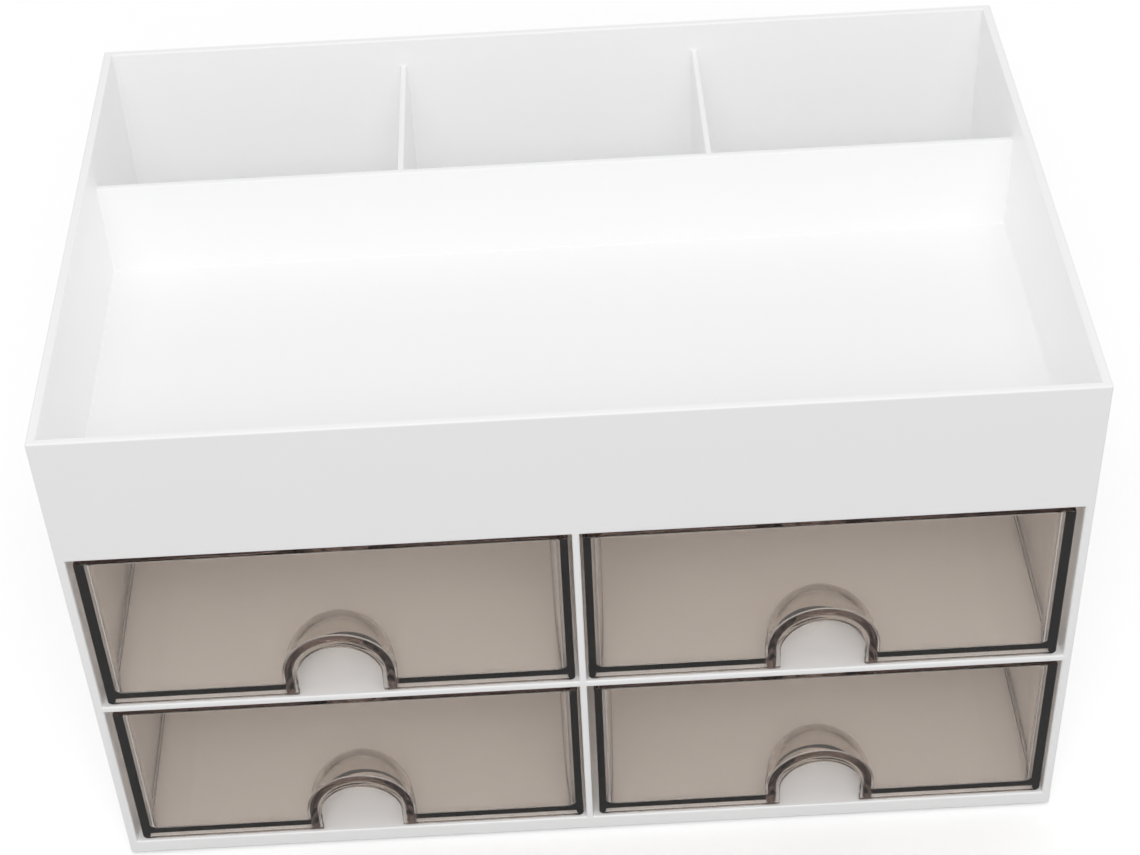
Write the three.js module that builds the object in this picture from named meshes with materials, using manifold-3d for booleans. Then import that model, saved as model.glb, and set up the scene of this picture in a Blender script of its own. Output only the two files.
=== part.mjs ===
// Desk organizer: a white moulded body with an open tray and three pen wells on top,
// and four smoked clear drawers, two above two, that slide out through its front.
//
// Millimetres. X runs across the width, the front faces -Y, and +Z is up.
// The origin is the middle of the underside, on the surface that the feet stand on.

import * as THREE from 'three';
import { mergeVertices } from 'three/addons/utils/BufferGeometryUtils.js';
import Module from 'manifold-3d';

const wasm = await Module();
wasm.setup();

// ---- Driving dimensions -------------------------------------------------

const width = 250;
const depth = 165;
const bodyHeight = 150;          // bottom rim to top rim
const footDrop = 0.6;            // how far the feet reach below the bottom rim

const sideThickness = 2.3;
const backThickness = 2;
const frontBandThickness = 2;
const partitionThickness = 1.8;
const bayDividerThickness = 1.8;
const penDividerThickness = 1.6;
const shelfThickness = 2;
const trayFloorThickness = 1.8;
const basePlateThickness = 2.2;
const baseHeight = 4.6;          // the plate and the rim that carries it
const baseRimThickness = 2;

const frontBandHeight = 38.2;    // top rim down to the top of the upper drawer bays
const innerWallDrop = 8.6;       // top rim down to the tops of the partition and pen dividers
const bayDepth = 111;            // front of the body to the face of the partition
const penDividerOffset = 41.3;   // centre line of a pen divider from the middle
const seam = 0.1;                // gap between neighbouring walls of the body

const drawerWidth = 119.4;
const drawerDepth = 110;
const drawerHeight = 50.7;
const drawerFrontThickness = 1.8;
const drawerWallThickness = 1.7; // sides, back and floor
const drawerFloorLift = 1.2;     // the sides and the front reach this far below the floor
const drawerRecess = 0.6;        // front of a drawer behind the front of the body
const drawerClearance = 0.2;     // gap between a drawer and the floor of its bay

const archSpring = 6;            // height at which the arch and its pocket start to curve over
const archRadius = 10.75;        // opening in the front of a drawer
const pocketRadius = 12.05;      // inside of the domed pocket behind the opening
const pocketWall = 1.85;
const pocketCentre = 5.25;       // front of the drawer to the middle of the dome

const arcSegments = 40;          // straight pieces in a full turn of a curved wall

const footRadius = 5;
const footInset = 16;            // centre of a foot from both outside faces of the body

// Each drawer lies a little off the middle of its bay, within its side play.
const drawerShift = {
  upper_left: 0.25,
  upper_right: -0.55,
  lower_left: 0.5,
  lower_right: 0.5,
};

// ---- Levels and faces worked out from them ------------------------------

const bottomRimZ = footDrop;
const topRimZ = bottomRimZ + bodyHeight;
const baseTopZ = bottomRimZ + baseHeight;
const upperBayTopZ = topRimZ - frontBandHeight;
const bayHeight = (upperBayTopZ - baseTopZ - shelfThickness) / 2;
const lowerBayTopZ = baseTopZ + bayHeight;
const upperBayFloorZ = lowerBayTopZ + shelfThickness;
const innerWallTopZ = topRimZ - innerWallDrop;

const frontY = -depth / 2;
const backY = depth / 2;
const partitionFrontY = frontY + bayDepth;
const partitionBackY = partitionFrontY + partitionThickness;
const innerHalfWidth = width / 2 - sideThickness;
const bayCentreX = (innerHalfWidth + bayDividerThickness / 2) / 2;

// ---- Materials ----------------------------------------------------------

const whitePlastic = () => new THREE.MeshStandardMaterial({ color: 0xf1f0ee, roughness: 0.35, metalness: 0 });

const smokedPlastic = () => new THREE.MeshStandardMaterial({
  color: 0x8c7f74,
  roughness: 0.08,
  metalness: 0,
  transparent: true,
  opacity: 0.55,
});

const clearRubber = () => new THREE.MeshStandardMaterial({ color: 0xd9d8d4, roughness: 0.6, metalness: 0 });

// ---- Solid tools --------------------------------------------------------

// A closed three.js geometry as a manifold solid.
function solidOf(geometry) {
  const bare = geometry.clone();
  bare.deleteAttribute('normal');
  bare.deleteAttribute('uv');
  const merged = mergeVertices(bare, 1e-4);
  return new wasm.Manifold(new wasm.Mesh({
    numProp: 3,
    vertProperties: new Float32Array(merged.attributes.position.array),
    triVerts: new Uint32Array(merged.index.array),
  }));
}

// A manifold solid as a three.js geometry.
function geometryOf(solid) {
  const mesh = solid.getMesh();
  const geometry = new THREE.BufferGeometry();
  geometry.setAttribute('position', new THREE.BufferAttribute(mesh.vertProperties, 3));
  geometry.setIndex(new THREE.BufferAttribute(mesh.triVerts, 1));
  geometry.computeVertexNormals();
  return geometry;
}

// A box from its lowest corner to its highest corner.
function boxBetween([x0, y0, z0], [x1, y1, z1]) {
  const geometry = new THREE.BoxGeometry(x1 - x0, y1 - y0, z1 - z0);
  geometry.translate((x0 + x1) / 2, (y0 + y1) / 2, (z0 + z1) / 2);
  return geometry;
}

const boxSolid = (low, high) => solidOf(boxBetween(low, high));

function namedMesh(name, geometry, material) {
  const mesh = new THREE.Mesh(geometry, material);
  mesh.name = name;
  return mesh;
}

// ---- Body ---------------------------------------------------------------

// A flat wall of the body, from its lowest corner to its highest corner.
function wall(name, low, high) {
  const [x0, y0, z0] = low;
  const [x1, y1, z1] = high;
  const mesh = namedMesh(name, new THREE.BoxGeometry(x1 - x0, y1 - y0, z1 - z0), whitePlastic());
  mesh.position.set((x0 + x1) / 2, (y0 + y1) / 2, (z0 + z1) / 2);
  return mesh;
}

// The base is a flat plate carried on a rim that runs round its edge.
function basePanel() {
  const block = boxSolid([-width / 2, frontY, bottomRimZ], [width / 2, backY, baseTopZ]);
  const hollow = boxSolid(
    [-width / 2 + baseRimThickness, frontY + baseRimThickness, bottomRimZ - 1],
    [width / 2 - baseRimThickness, backY - baseRimThickness, baseTopZ - basePlateThickness],
  );
  return namedMesh('base_panel', geometryOf(block.subtract(hollow)), whitePlastic());
}

function sideWall(name, side) {
  const faces = [side * width / 2, side * innerHalfWidth].sort((a, b) => a - b);
  return wall(name, [faces[0], frontY, baseTopZ + seam], [faces[1], backY, topRimZ]);
}

// The two dividers between a left and a right drawer bay.
function bayDivider(name, floorZ, ceilingZ) {
  const half = bayDividerThickness / 2;
  return wall(name, [-half, frontY, floorZ + seam], [half, partitionFrontY - seam, ceilingZ - seam]);
}

function penDivider(name, side) {
  const centre = side * penDividerOffset;
  const half = penDividerThickness / 2;
  return wall(
    name,
    [centre - half, partitionBackY + seam, baseTopZ + seam],
    [centre + half, backY - backThickness - seam, innerWallTopZ],
  );
}

function bodyWalls() {
  const inner = innerHalfWidth - seam;
  const wallFootZ = baseTopZ + seam;
  return [
    basePanel(),
    sideWall('left_side_wall', -1),
    sideWall('right_side_wall', 1),
    wall('back_wall', [-inner, backY - backThickness, wallFootZ], [inner, backY, topRimZ]),
    wall('front_band', [-inner, frontY, upperBayTopZ], [inner, frontY + frontBandThickness, topRimZ]),
    wall(
      'tray_floor',
      [-inner, frontY + frontBandThickness + seam, upperBayTopZ],
      [inner, partitionFrontY - seam, upperBayTopZ + trayFloorThickness],
    ),
    wall('middle_shelf', [-inner, frontY, lowerBayTopZ], [inner, partitionFrontY - seam, upperBayFloorZ]),
    bayDivider('lower_bay_divider', baseTopZ, lowerBayTopZ),
    bayDivider('upper_bay_divider', upperBayFloorZ, upperBayTopZ),
    wall('pen_partition', [-inner, partitionFrontY, wallFootZ], [inner, partitionBackY, innerWallTopZ]),
    penDivider('left_pen_divider', -1),
    penDivider('right_pen_divider', 1),
  ];
}

// ---- Drawers ------------------------------------------------------------

// A round-topped bar along +Y, standing on z = bottom and closed over by a half circle.
function archBar(radius, bottom, startY, endY) {
  const outline = new THREE.Shape();
  outline.moveTo(-radius, bottom);
  outline.lineTo(radius, bottom);
  outline.lineTo(radius, archSpring);
  outline.absarc(0, archSpring, radius, 0, Math.PI, false);
  outline.lineTo(-radius, bottom);
  const geometry = new THREE.ExtrudeGeometry(outline, {
    depth: endY - startY,
    bevelEnabled: false,
    curveSegments: arcSegments / 2,
  });
  geometry.rotateX(Math.PI / 2);
  geometry.translate(0, endY, 0);
  return solidOf(geometry);
}

// An arch bar that ends in a quarter sphere over an upright half round.
function domedBar(radius, bottom, startY) {
  const dome = new THREE.SphereGeometry(radius, arcSegments, arcSegments / 2);
  dome.rotateX(Math.PI / 2);
  dome.translate(0, pocketCentre, archSpring);
  const upright = new THREE.CylinderGeometry(radius, radius, archSpring - bottom, arcSegments);
  upright.rotateX(Math.PI / 2);
  upright.translate(0, pocketCentre, (archSpring + bottom) / 2);
  const reach = radius + 1;
  const behindStart = boxSolid([-reach, startY, bottom], [reach, pocketCentre + reach, archSpring + reach]);
  return solidOf(dome)
    .add(solidOf(upright))
    .add(archBar(radius, bottom, startY, pocketCentre))
    .intersect(behindStart);
}

// One drawer, with the middle of its bottom front edge at the origin.
// Its floor is raised between the sides, and a domed pocket behind the arch in its front takes a finger.
function drawerGeometry() {
  const half = drawerWidth / 2;
  const innerHalf = half - drawerWallThickness;
  const insideFront = drawerFrontThickness;
  const insideBack = drawerDepth - drawerWallThickness;
  const floorTop = drawerFloorLift + drawerWallThickness;

  const block = boxSolid([-half, 0, 0], [half, drawerDepth, drawerHeight]);
  const inside = boxSolid([-innerHalf, insideFront, floorTop], [innerHalf, insideBack, drawerHeight + 1]);
  const underside = boxSolid([-innerHalf, insideFront, -1], [innerHalf, drawerDepth + 1, drawerFloorLift]);
  const shell = domedBar(pocketRadius + pocketWall, 0, insideFront / 2);
  const pocket = domedBar(pocketRadius, -1, insideFront);
  const opening = archBar(archRadius, -1, -1, insideFront + 1);
  return geometryOf(block.subtract(inside).subtract(underside).add(shell).subtract(pocket).subtract(opening));
}

function drawers() {
  const bays = [
    { name: 'upper_left', side: -1, floorZ: upperBayFloorZ },
    { name: 'upper_right', side: 1, floorZ: upperBayFloorZ },
    { name: 'lower_left', side: -1, floorZ: baseTopZ },
    { name: 'lower_right', side: 1, floorZ: baseTopZ },
  ];
  return bays.map(({ name, side, floorZ }) => {
    const mesh = namedMesh(`${name}_drawer`, drawerGeometry(), smokedPlastic());
    mesh.position.set(
      side * bayCentreX + drawerShift[name],
      frontY + drawerRecess,
      floorZ + drawerClearance,
    );
    return mesh;
  });
}

// ---- Feet ---------------------------------------------------------------

// A round bumper stuck under the base plate near each corner, inside the bottom rim.
function feet() {
  const height = baseTopZ - basePlateThickness - seam;
  const corners = [
    { name: 'front_left_foot', x: -1, y: -1 },
    { name: 'front_right_foot', x: 1, y: -1 },
    { name: 'back_left_foot', x: -1, y: 1 },
    { name: 'back_right_foot', x: 1, y: 1 },
  ];
  return corners.map(({ name, x, y }) => {
    const geometry = new THREE.CylinderGeometry(footRadius, footRadius * 0.9, height, 32);
    geometry.rotateX(Math.PI / 2);
    const mesh = namedMesh(name, geometry, clearRubber());
    mesh.position.set(x * (width / 2 - footInset), y * (depth / 2 - footInset), height / 2);
    return mesh;
  });
}

// ---- Assembly -----------------------------------------------------------

const group = new THREE.Group();
group.add(...bodyWalls(), ...drawers(), ...feet());

export default group;
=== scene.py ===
"""The looks of the desk organizer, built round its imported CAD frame.

Metres, +Z up. The front faces -Y, and the middle of the underside is the origin.
"""

import math

import bmesh
import bpy
from mathutils import Euler, Matrix, Vector


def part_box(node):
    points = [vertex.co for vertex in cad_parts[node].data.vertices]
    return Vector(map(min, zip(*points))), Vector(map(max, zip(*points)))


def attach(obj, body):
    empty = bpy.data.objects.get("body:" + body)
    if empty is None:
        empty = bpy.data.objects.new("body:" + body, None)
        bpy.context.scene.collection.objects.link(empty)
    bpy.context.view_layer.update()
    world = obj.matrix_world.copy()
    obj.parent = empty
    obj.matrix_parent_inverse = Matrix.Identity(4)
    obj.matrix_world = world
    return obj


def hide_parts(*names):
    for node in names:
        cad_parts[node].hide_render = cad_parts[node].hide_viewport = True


MM = 0.001

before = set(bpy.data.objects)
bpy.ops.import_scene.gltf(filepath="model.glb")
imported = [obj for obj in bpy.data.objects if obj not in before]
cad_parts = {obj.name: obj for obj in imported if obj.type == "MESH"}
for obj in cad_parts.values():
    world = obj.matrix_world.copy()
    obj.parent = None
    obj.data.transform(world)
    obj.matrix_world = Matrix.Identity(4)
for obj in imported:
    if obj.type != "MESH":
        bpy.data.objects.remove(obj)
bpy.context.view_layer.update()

# ---- Driving dimensions -------------------------------------------------

BASE_PLATE = 2.2 * MM  # the rim round it is as thick as the walls above
WALL_ROUNDING = 0.45 * MM  # on every edge of the body, inside and out

DRAWER_FRONT = 1.8 * MM
DRAWER_WALL = 1.7 * MM  # sides, back and floor
DRAWER_FLOOR_LIFT = 1.2 * MM  # the sides and the front reach this far below the floor
DRAWER_CORNER = 3.0 * MM  # fillet in the upright inside corners
DRAWER_FILLET = 0.9 * MM  # round the floor inside, and where the finger pocket meets the front
DRAWER_LOWER_EDGE = 1.3 * MM  # rounding along the outer lower edges
DRAWER_ROUNDING = 0.4 * MM  # on the other edges

ARCH_SPRING = 6 * MM  # height at which the arch and the pocket start to curve over
ARCH_RADIUS = 10.75 * MM  # of the opening in the drawer's front
POCKET_RADIUS = 12.05 * MM  # inside of the pocket behind it
POCKET_WALL = 1.85 * MM
POCKET_CENTRE = 5.25 * MM  # front of the drawer to the middle of the pocket's dome

ARCH_STEPS = 28  # straight pieces in a quarter turn of an arch or a dome
ROUNDING_STEPS = 8  # the same for a fillet
FOOT_CROWN = 0.5 * MM  # rounding of a foot's lower edge
FOOT_TAPER = 0.9  # a foot's radius just above that rounding, as a part of its radius at the top

MARGIN = 5.0 * MM  # how far a cutting solid stands out of what it cuts
WELD = 0.01 * MM  # corners closer than this become one

# The floor's tones: where it is looked at, in the light it throws back, and in mirror images of it.
FLOOR_SEEN = (0.97, 0.97, 0.97, 1)
FLOOR_BOUNCE = (0.48, 0.48, 0.48, 1)
FLOOR_MIRRORED = (0.68, 0.68, 0.68, 1)
FLOOR_GLOW = 0.17  # added where it is looked at, which brings it to plain white

NOISE_SPAN = (0.3, 0.7)  # nearly all the values of a noise texture lie between these

# ---- Mesh tools ---------------------------------------------------------


def new_object(name, bm):
    """A new scene object that takes over a bmesh."""
    mesh = bpy.data.meshes.new(name)
    bm.to_mesh(mesh)
    bm.free()
    obj = bpy.data.objects.new(name, mesh)
    bpy.context.scene.collection.objects.link(obj)
    return obj


def box_bmesh(low, high):
    """A closed box between two corners."""
    bm = bmesh.new()
    bmesh.ops.create_cube(bm, size=1.0)
    size = [b - a for a, b in zip(low, high)]
    middle = [(a + b) / 2 for a, b in zip(low, high)]
    bmesh.ops.transform(bm, matrix=Matrix.LocRotScale(middle, None, size), verts=bm.verts)
    return bm


def round_edges(bm, chosen, radius):
    """Rounds the edges for which chosen(first corner, second corner) is true."""
    edges = [e for e in bm.edges if chosen(e.verts[0].co, e.verts[1].co)]
    bmesh.ops.bevel(
        bm,
        geom=edges,
        offset=radius,
        offset_type="OFFSET",
        segments=ROUNDING_STEPS,
        profile=0.5,
        affect="EDGES",
        clamp_overlap=False,
    )


def merge_flats(bm):
    """Joins neighbouring faces that lie in one plane, and drops the corners that they no longer need."""
    bmesh.ops.remove_doubles(bm, verts=bm.verts, dist=WELD)
    bmesh.ops.dissolve_limit(bm, angle_limit=math.radians(0.5), verts=bm.verts, edges=bm.edges)
    bmesh.ops.recalc_face_normals(bm, faces=bm.faces)


def hollowed_block(low, high, hollows):
    """A block with box-shaped hollows taken out of it, as one closed bmesh."""
    cuts = []
    for axis in range(3):
        values = {low[axis], high[axis]}
        for hollow in hollows:
            values |= {corner[axis] for corner in hollow if low[axis] < corner[axis] < high[axis]}
        cuts.append(sorted(values))
    counts = [len(c) - 1 for c in cuts]

    def is_solid(cell):
        if any(not 0 <= i < n for i, n in zip(cell, counts)):
            return False
        middle = [(cuts[a][i] + cuts[a][i + 1]) / 2 for a, i in enumerate(cell)]
        return not any(all(a < m < b for a, m, b in zip(lo, middle, hi)) for lo, hi in hollows)

    bm = bmesh.new()
    corners = {}

    def corner(key):
        if key not in corners:
            corners[key] = bm.verts.new([cuts[a][i] for a, i in enumerate(key)])
        return corners[key]

    cells = [(i, j, k) for i in range(counts[0]) for j in range(counts[1]) for k in range(counts[2])]
    for cell in filter(is_solid, cells):
        for axis in range(3):
            across, up = (axis + 1) % 3, (axis + 2) % 3
            for side in (0, 1):
                neighbour = list(cell)
                neighbour[axis] += 2 * side - 1
                if is_solid(neighbour):
                    continue
                ring = []
                for step_across, step_up in ((0, 0), (1, 0), (1, 1), (0, 1)):
                    key = list(cell)
                    key[axis] += side
                    key[across] += step_across
                    key[up] += step_up
                    ring.append(corner(tuple(key)))
                bm.faces.new(ring if side else ring[::-1])
    merge_flats(bm)
    return bm


def combine(target, bm, operation):
    """Joins a bmesh to an object, or cuts it out, and keeps the result as the object's mesh."""
    tool = new_object("tool", bm)
    modifier = target.modifiers.new("combine", "BOOLEAN")
    modifier.operation = operation
    modifier.solver = "EXACT"
    modifier.object = tool
    graph = bpy.context.evaluated_depsgraph_get()
    result = bpy.data.meshes.new_from_object(target.evaluated_get(graph))
    target.modifiers.clear()
    target.data = result
    bpy.data.objects.remove(tool)


def soften(obj, radius):
    """Rounds every remaining sharp edge and shades the flats flat and the roundings smooth."""
    obj.data.shade_smooth()
    bevel = obj.modifiers.new("rounding", "BEVEL")
    bevel.width = radius
    bevel.segments = 3
    bevel.limit_method = "ANGLE"
    bevel.angle_limit = math.radians(35)
    flats = obj.modifiers.new("flats in triangles", "TRIANGULATE")
    flats.ngon_method = "BEAUTY"
    flats.min_vertices = 5
    normals = obj.modifiers.new("flat faces", "WEIGHTED_NORMAL")
    normals.mode = "FACE_AREA"
    normals.weight = 100
    normals.keep_sharp = True


# ---- Body ---------------------------------------------------------------


def body_mesh():
    """The white moulding in one piece, with its hollows where the CAD walls leave them."""
    base_low, base_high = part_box("base_panel")
    left_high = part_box("left_side_wall")[1]
    right_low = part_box("right_side_wall")[0]
    back_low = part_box("back_wall")[0]
    band_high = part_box("front_band")[1]
    tray_low, tray_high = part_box("tray_floor")
    shelf_low, shelf_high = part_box("middle_shelf")
    divider_low, divider_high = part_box("lower_bay_divider")
    partition_low, partition_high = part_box("pen_partition")
    pen_walls = [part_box("left_pen_divider"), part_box("right_pen_divider")]

    left, right, back = left_high.x, right_low.x, back_low.y
    top = left_high.z
    front = base_low.y - MARGIN
    above = top + MARGIN
    hollows = []
    # The four drawer bays.
    for x0, x1 in ((left, divider_low.x), (divider_high.x, right)):
        for z0, z1 in ((base_high.z, shelf_low.z), (shelf_high.z, tray_low.z)):
            hollows.append(((x0, front, z0), (x1, partition_low.y, z1)))
    # The front tray, and the room over the partition.
    hollows.append(((left, band_high.y, tray_high.z), (right, partition_low.y, above)))
    hollows.append(((left, band_high.y, partition_high.z), (right, back, above)))
    # The three pen wells.
    well_sides = [left]
    for wall_low, wall_high in pen_walls:
        well_sides += [wall_low.x, wall_high.x]
    well_sides.append(right)
    for x0, x1 in zip(well_sides[::2], well_sides[1::2]):
        hollows.append(((x0, partition_high.y, base_high.z), (x1, back, above)))
    # The shallow recess under the base.
    hollows.append((
        (left, band_high.y, base_low.z - MARGIN),
        (right, back, base_high.z - BASE_PLATE),
    ))
    return hollowed_block(base_low, (base_high.x, base_high.y, top), hollows)


def make_body(material):
    """The body in the place of its twelve CAD walls."""
    body = new_object("body_moulding", body_mesh())
    body.data.materials.append(material)
    soften(body, WALL_ROUNDING)
    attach(body, "body")
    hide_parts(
        "base_panel",
        "left_side_wall",
        "right_side_wall",
        "back_wall",
        "front_band",
        "tray_floor",
        "middle_shelf",
        "lower_bay_divider",
        "upper_bay_divider",
        "pen_partition",
        "left_pen_divider",
        "right_pen_divider",
    )


# ---- Drawers ------------------------------------------------------------


def arch_solid(radius, bottom, front, back, domed, flare=0):
    """A round-topped bar along Y.

    It may end in a quarter sphere over an upright half round, and meet the drawer's front in a fillet.
    """
    bm = bmesh.new()

    def section(y, rise):
        """One arch across the bar, from its left foot over the top to its right foot."""
        outline = [(-rise, bottom)]
        for i in range(2 * ARCH_STEPS + 1):
            angle = math.pi * (1 - i / (2 * ARCH_STEPS))
            outline.append((rise * math.cos(angle), ARCH_SPRING + rise * math.sin(angle)))
        outline.append((rise, bottom))
        return [bm.verts.new((x, y, z)) for x, z in outline]

    sections = [section(front, radius + flare)]
    if flare:
        for i in range(ROUNDING_STEPS + 1):
            turn = math.pi / 2 * i / ROUNDING_STEPS
            sections.append(section(
                DRAWER_FRONT + flare * (1 - math.cos(turn)),
                radius + flare * (1 - math.sin(turn)),
            ))
    sections.append(section(back, radius))
    if domed:
        for i in range(1, ARCH_STEPS):
            turn = math.pi / 2 * i / ARCH_STEPS
            sections.append(section(back + radius * math.sin(turn), radius * math.cos(turn)))
    for near, far in zip(sections, sections[1:]):
        for i in range(len(near)):
            following = (i + 1) % len(near)
            bm.faces.new((near[i], near[following], far[following], far[i]))
    first, last = sections[0], sections[-1]
    bm.faces.new(first)
    if domed:
        foot = bm.verts.new((0, back + radius, bottom))
        crown = bm.verts.new((0, back + radius, ARCH_SPRING))
        for a, b in zip(last[1:-2], last[2:-1]):
            bm.faces.new((a, b, crown))
        bm.faces.new((last[0], last[1], crown, foot))
        bm.faces.new((last[-2], last[-1], foot, crown))
        bm.faces.new((last[-1], last[0], foot))
    else:
        bm.faces.new(last)
    bmesh.ops.recalc_face_normals(bm, faces=bm.faces)
    return bm


def drawer_mesh(width, depth, height):
    """One drawer, with the middle of its bottom front edge at the origin."""
    half = width / 2
    inner = half - DRAWER_WALL
    floor_top = DRAWER_FLOOR_LIFT + DRAWER_WALL

    block = box_bmesh((-half, 0, 0), (half, depth, height))
    round_edges(
        block,
        lambda a, b: max(a.z, b.z) < WELD and abs(a.x - b.x) < WELD,
        DRAWER_LOWER_EDGE,
    )
    drawer = new_object("drawer", block)

    inside = box_bmesh(
        (-inner, DRAWER_FRONT, floor_top),
        (inner, depth - DRAWER_WALL, height + MARGIN),
    )
    round_edges(inside, lambda a, b: abs(a.z - b.z) > height / 2, DRAWER_CORNER)
    round_edges(inside, lambda a, b: max(a.z, b.z) < floor_top + WELD, DRAWER_FILLET)
    combine(drawer, inside, "DIFFERENCE")
    underside = box_bmesh((-inner, DRAWER_FRONT, -MARGIN), (inner, depth + MARGIN, DRAWER_FLOOR_LIFT))
    combine(drawer, underside, "DIFFERENCE")

    # The shell starts halfway through the front, and the opening ends inside the pocket's hollow.
    outer_radius = POCKET_RADIUS + POCKET_WALL
    shell = arch_solid(
        outer_radius, 0, DRAWER_FRONT / 2, POCKET_CENTRE, domed=True, flare=DRAWER_FILLET
    )
    combine(drawer, shell, "UNION")
    pocket = arch_solid(POCKET_RADIUS, -MARGIN, DRAWER_FRONT, POCKET_CENTRE, domed=True)
    combine(drawer, pocket, "DIFFERENCE")
    opening = arch_solid(ARCH_RADIUS, -MARGIN, -MARGIN, 1.5 * DRAWER_FRONT, domed=False)
    combine(drawer, opening, "DIFFERENCE")

    bm = bmesh.new()
    bm.from_mesh(drawer.data)
    merge_flats(bm)
    mesh = bpy.data.meshes.new("drawer")
    bm.to_mesh(mesh)
    bm.free()
    bpy.data.objects.remove(drawer)
    return mesh


def make_drawers(material):
    """Four drawers that share one mesh, each where its CAD drawer is."""
    names = ("upper_left_drawer", "upper_right_drawer", "lower_left_drawer", "lower_right_drawer")
    low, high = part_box(names[0])
    mesh = drawer_mesh(high.x - low.x, high.y - low.y, high.z - low.z)
    mesh.materials.append(material)
    for name in names:
        low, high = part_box(name)
        piece = bpy.data.objects.new(f"{name}_moulding", mesh)
        bpy.context.scene.collection.objects.link(piece)
        piece.location = ((low.x + high.x) / 2, low.y, low.z)
        soften(piece, DRAWER_ROUNDING)
        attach(piece, name)
        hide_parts(name)


# ---- Materials ----------------------------------------------------------


def new_material(name):
    """A material with a Principled shader, and its node tree, shader and output node."""
    material = bpy.data.materials.new(name)
    material.use_nodes = True
    tree = material.node_tree
    shader = tree.nodes["Principled BSDF"]
    output = tree.nodes["Material Output"]
    return material, tree, shader, output


def noise(tree, coordinates, scale, detail):
    """A noise texture over object coordinates, scale in features per metre."""
    node = tree.nodes.new("ShaderNodeTexNoise")
    node.inputs["Scale"].default_value = scale
    node.inputs["Detail"].default_value = detail
    tree.links.new(coordinates, node.inputs["Vector"])
    return node.outputs["Fac"]


def remap(tree, value, from_low, from_high, to_low, to_high):
    """A value carried from one range to another, and held inside it."""
    node = tree.nodes.new("ShaderNodeMapRange")
    node.inputs["From Min"].default_value = from_low
    node.inputs["From Max"].default_value = from_high
    node.inputs["To Min"].default_value = to_low
    node.inputs["To Max"].default_value = to_high
    tree.links.new(value, node.inputs["Value"])
    return node.outputs["Result"]


def bump(tree, height, distance, normal=None):
    """A normal tilted by a height, on top of another normal where one is given."""
    node = tree.nodes.new("ShaderNodeBump")
    node.inputs["Distance"].default_value = distance
    tree.links.new(height, node.inputs["Height"])
    if normal is not None:
        tree.links.new(normal, node.inputs["Normal"])
    return node.outputs["Normal"]


def mix(tree, factor, start, end):
    """A colour between two: each may be a colour or another node's output."""
    node = tree.nodes.new("ShaderNodeMix")
    node.data_type = "RGBA"
    tree.links.new(factor, node.inputs["Factor"])
    for name, value in (("A", start), ("B", end)):
        if isinstance(value, tuple):
            node.inputs[name].default_value = value
        else:
            tree.links.new(value, node.inputs[name])
    return node.outputs["Result"]


def object_coordinates(tree):
    """Where on a piece a point lies, in metres of its own axes."""
    return tree.nodes.new("ShaderNodeTexCoord").outputs["Object"]


def white_plastic():
    """Satin white, a little uneven in tone, sheen and surface."""
    material, tree, shader, _ = new_material("white_plastic")
    where = object_coordinates(tree)
    shader.inputs["IOR"].default_value = 1.5
    darkest, lightest = (0.955, 0.955, 0.955, 1), (0.965, 0.965, 0.965, 1)
    tone = mix(tree, noise(tree, where, 25, detail=4), darkest, lightest)
    tree.links.new(tone, shader.inputs["Base Color"])
    sheen = remap(tree, noise(tree, where, 60, detail=5), *NOISE_SPAN, 0.32, 0.42)
    tree.links.new(sheen, shader.inputs["Roughness"])
    waves = bump(tree, noise(tree, where, 30, detail=1), 0.15 * MM)
    grain = bump(tree, noise(tree, where, 2500, detail=2), 0.006 * MM, normal=waves)
    tree.links.new(grain, shader.inputs["Normal"])
    return material


def smoked_plastic():
    """Clear, with a warm grey tint that deepens with the length of the way through it."""
    material, tree, shader, output = new_material("smoked_plastic")
    where = object_coordinates(tree)
    shader.inputs["Base Color"].default_value = (1, 0.982, 0.957, 1)
    shader.inputs["Transmission Weight"].default_value = 1
    shader.inputs["IOR"].default_value = 1.5
    polish = remap(tree, noise(tree, where, 90, detail=4), *NOISE_SPAN, 0.0, 0.03)
    tree.links.new(polish, shader.inputs["Roughness"])
    waves = bump(tree, noise(tree, where, 35, detail=2), 0.06 * MM)
    tree.links.new(waves, shader.inputs["Normal"])
    tint = tree.nodes.new("ShaderNodeVolumeAbsorption")
    tint.inputs["Color"].default_value = (0.68, 0.60, 0.57, 1)
    tint.inputs["Density"].default_value = 88
    tree.links.new(tint.outputs["Volume"], output.inputs["Volume"])
    return material


def foot_silicone():
    """Pale and dull, with a fine grain."""
    material, tree, shader, _ = new_material("foot_silicone")
    where = object_coordinates(tree)
    shader.inputs["Base Color"].default_value = (0.7, 0.7, 0.68, 1)
    shader.inputs["IOR"].default_value = 1.41
    dull = remap(tree, noise(tree, where, 900, detail=3), *NOISE_SPAN, 0.5, 0.7)
    tree.links.new(dull, shader.inputs["Roughness"])
    grain = bump(tree, noise(tree, where, 4000, detail=2), 0.02 * MM)
    tree.links.new(grain, shader.inputs["Normal"])
    return material


def floor_paint():
    """White where it is looked at, and a pale grey in the light that it throws back onto the object."""
    material, tree, shader, _ = new_material("floor_paint")
    shader.inputs["Roughness"].default_value = 0.9
    shader.inputs["Specular IOR Level"].default_value = 0.1
    path = tree.nodes.new("ShaderNodeLightPath")
    seen, mirrored = path.outputs["Is Camera Ray"], path.outputs["Is Glossy Ray"]
    bounced = mix(tree, mirrored, FLOOR_BOUNCE, FLOOR_MIRRORED)
    tree.links.new(mix(tree, seen, bounced, FLOOR_SEEN), shader.inputs["Base Color"])
    shader.inputs["Emission Color"].default_value = (1, 1, 1, 1)
    tree.links.new(remap(tree, seen, 0, 1, 0, FLOOR_GLOW), shader.inputs["Emission Strength"])
    return material


# ---- Feet ---------------------------------------------------------------


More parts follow.
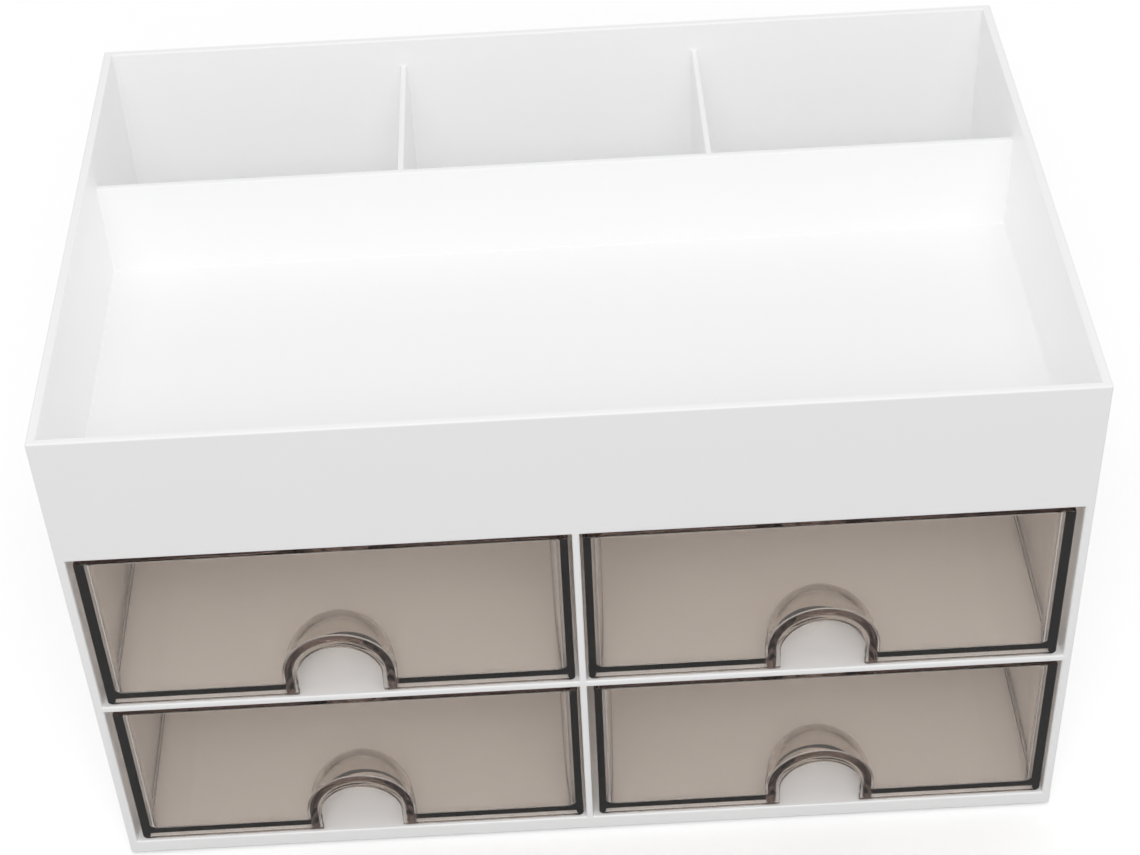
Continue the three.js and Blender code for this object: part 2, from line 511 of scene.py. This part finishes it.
def foot_mesh(radius, height):
    """A turned silicone bumper, standing on the origin."""
    steps = 48
    arc_steps = 5
    profile = [(0, 0)]
    for i in range(arc_steps + 1):
        angle = math.pi / 2 * i / arc_steps
        profile.append((
            radius * FOOT_TAPER - FOOT_CROWN + FOOT_CROWN * math.sin(angle),
            FOOT_CROWN - FOOT_CROWN * math.cos(angle),
        ))
    profile += [(radius, height), (0, height)]
    bm = bmesh.new()
    rings = []
    for r, z in profile:
        if r == 0:
            rings.append([bm.verts.new((0, 0, z))])
            continue
        turn = [2 * math.pi * i / steps for i in range(steps)]
        rings.append([bm.verts.new((r * math.cos(a), r * math.sin(a), z)) for a in turn])
    for lower, upper in zip(rings, rings[1:]):
        for i in range(steps):
            following = (i + 1) % steps
            if len(lower) == 1:
                bm.faces.new((lower[0], upper[following], upper[i]))
            elif len(upper) == 1:
                bm.faces.new((lower[i], lower[following], upper[0]))
            else:
                bm.faces.new((lower[i], lower[following], upper[following], upper[i]))
    bmesh.ops.recalc_face_normals(bm, faces=bm.faces)
    return bm


def make_feet(material):
    """Four bumpers that share their shape, each where its CAD foot is."""
    for name in ("front_left_foot", "front_right_foot", "back_left_foot", "back_right_foot"):
        low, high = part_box(name)
        foot = new_object(f"{name}_bumper", foot_mesh((high.x - low.x) / 2, high.z - low.z))
        foot.location = ((low.x + high.x) / 2, (low.y + high.y) / 2, low.z)
        foot.data.materials.append(material)
        foot.data.shade_smooth()
        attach(foot, "body")
        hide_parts(name)


# ---- Floor, light and camera --------------------------------------------


def make_floor():
    """A plain pale floor, far wider than the picture."""
    bm = bmesh.new()
    bmesh.ops.create_grid(bm, x_segments=1, y_segments=1, size=4.0)
    floor = new_object("floor", bm)
    floor.data.materials.append(floor_paint())


def make_softbox(name, position, target, size, power):
    """A rectangular lamp that faces a target. Its power is in watts."""
    light = bpy.data.lights.new(name, "AREA")
    light.shape = "RECTANGLE"
    light.size, light.size_y = size
    light.energy = power
    lamp = bpy.data.objects.new(name, light)
    lamp.location = position
    lamp.rotation_euler = (Vector(target) - Vector(position)).to_track_quat("-Z", "Y").to_euler()
    bpy.context.scene.collection.objects.link(lamp)


def make_light():
    """A plain white sky, and one large softbox before the front and above it."""
    world = bpy.data.worlds.new("studio")
    world.use_nodes = True
    sky = world.node_tree.nodes["Background"]
    sky.inputs["Color"].default_value = (1, 1, 1, 1)
    sky.inputs["Strength"].default_value = 0.765
    bpy.context.scene.world = world
    make_softbox(
        "key",
        position=(0, -1.1, 1.15),
        target=(0, 0, 0.08),
        size=(0.9, 0.7),
        power=5.5,
    )


def make_camera():
    """The camera stands before the front and above it, a little turned and rolled."""
    camera_data = bpy.data.cameras.new("camera")
    camera_data.sensor_width = 36
    camera_data.lens = 73.14
    camera = bpy.data.objects.new("camera", camera_data)
    camera.location = (-0.0016, -0.479, 0.5026)
    tilt_down, turn, roll = math.radians(41.88), math.radians(-0.23), math.radians(-2.94)
    turned = Euler((math.pi / 2 - tilt_down, 0, turn)).to_matrix()
    camera.rotation_euler = (turned @ Matrix.Rotation(roll, 3, "Z")).to_euler()
    bpy.context.scene.collection.objects.link(camera)
    bpy.context.scene.camera = camera


make_body(white_plastic())
make_drawers(smoked_plastic())
make_feet(foot_silicone())
make_floor()
make_light()
make_camera()

# Light reaches the inside of the bays through several clear walls, on long paths that stay sharp.
scene = bpy.context.scene
scene.view_settings.view_transform = "Standard"
scene.cycles.blur_glossy = 0
scene.cycles.max_bounces = 32
scene.cycles.diffuse_bounces = 24
scene.cycles.transmission_bounces = 32
scene.cycles.glossy_bounces = 16
